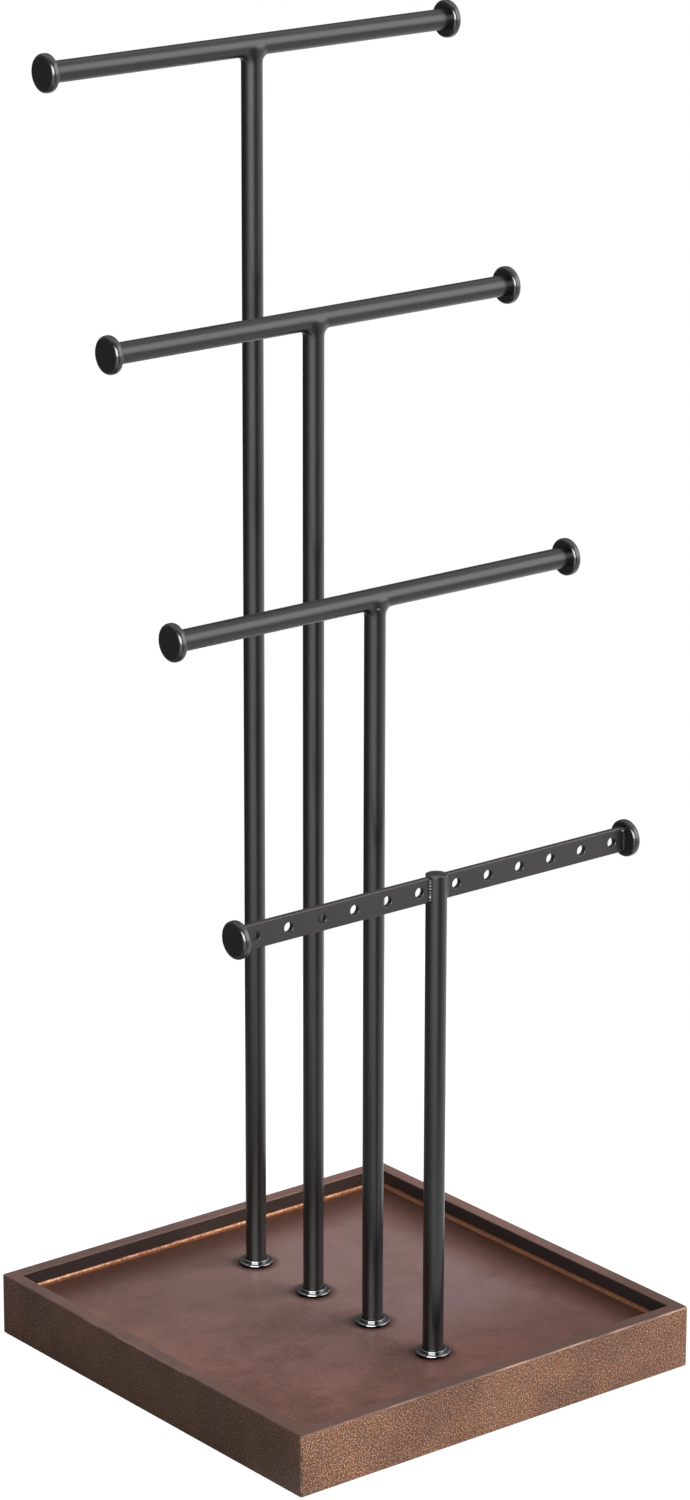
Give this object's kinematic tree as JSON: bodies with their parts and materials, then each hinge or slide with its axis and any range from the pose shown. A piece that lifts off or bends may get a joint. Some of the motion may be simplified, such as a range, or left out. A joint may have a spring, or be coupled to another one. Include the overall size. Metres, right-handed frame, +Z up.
{
  "type": "tiered jewellery stand",
  "caption": "Free-standing jewellery stand: a shallow square tray with a row of stepped round posts that carry round cross bars and, at the front, a drilled flat bar for earrings.",
  "frame": {"origin": "middle of the tray in plan, on the surface that the pads stand on", "axes": "+Z up; X along the cross bars; -Y is the front, where the shortest tier stands"},
  "size_m": [0.165, 0.165, 0.4453],
  "materials": {
    "tray_rails": "bronze-brown lacquer with a fine speckle, on fibreboard",
    "tray_floor": "dark mottled brown lacquer, semi-gloss",
    "seam_filler": "worn copper-brown edge of the lacquered filler",
    "pad_felt": "black felt",
    "black_chrome": "polished black chrome",
    "zinc": "bright zinc plate",
    "gunmetal": "satin dark gunmetal plate",
    "disc_metal": "satin dark gunmetal plate, flat face and bright rounded edge"
  },
  "bodies": {
    "base": {"rail_front": "tray_rails", "rail_right": "tray_rails", "rail_back": "tray_rails", "rail_left": "tray_rails", "tray_panel": "tray_floor", "seam_bead": "seam_filler", "felt_pads": "pad_felt", "post_collars": "black_chrome", "post_screws": "zinc"},
    "tier_1": {"tier_1_post": "gunmetal", "tier_1_cross_bar": "gunmetal", "tier_1_end_discs": "disc_metal"},
    "tier_2": {"tier_2_post": "gunmetal", "tier_2_cross_bar": "gunmetal", "tier_2_end_discs": "disc_metal"},
    "tier_3": {"tier_3_post": "gunmetal", "tier_3_cross_bar": "gunmetal", "tier_3_end_discs": "disc_metal"},
    "tier_4": {"tier_4_post": "gunmetal", "tier_4_earring_bar": "gunmetal", "tier_4_end_discs": "disc_metal", "tier_4_welds": "gunmetal"}
  },
  "joints": [
    {"name": "tier_1_swivel", "type": "hinge", "parent": "base", "child": "tier_1", "pos_m": [0, 0.048, 0.0165], "axis": [0, 0, 1], "continuous": true},
    {"name": "tier_2_swivel", "type": "hinge", "parent": "base", "child": "tier_2", "pos_m": [0, 0.016, 0.0165], "axis": [0, 0, 1], "range_deg": [-75, 75]},
    {"name": "tier_3_swivel", "type": "hinge", "parent": "base", "child": "tier_3", "pos_m": [0, -0.016, 0.0165], "axis": [0, 0, 1], "range_deg": [-75, 75]},
    {"name": "tier_4_swivel", "type": "hinge", "parent": "base", "child": "tier_4", "pos_m": [0, -0.048, 0.0165], "axis": [0, 0, 1], "range_deg": [-80, 80]}
  ]
}
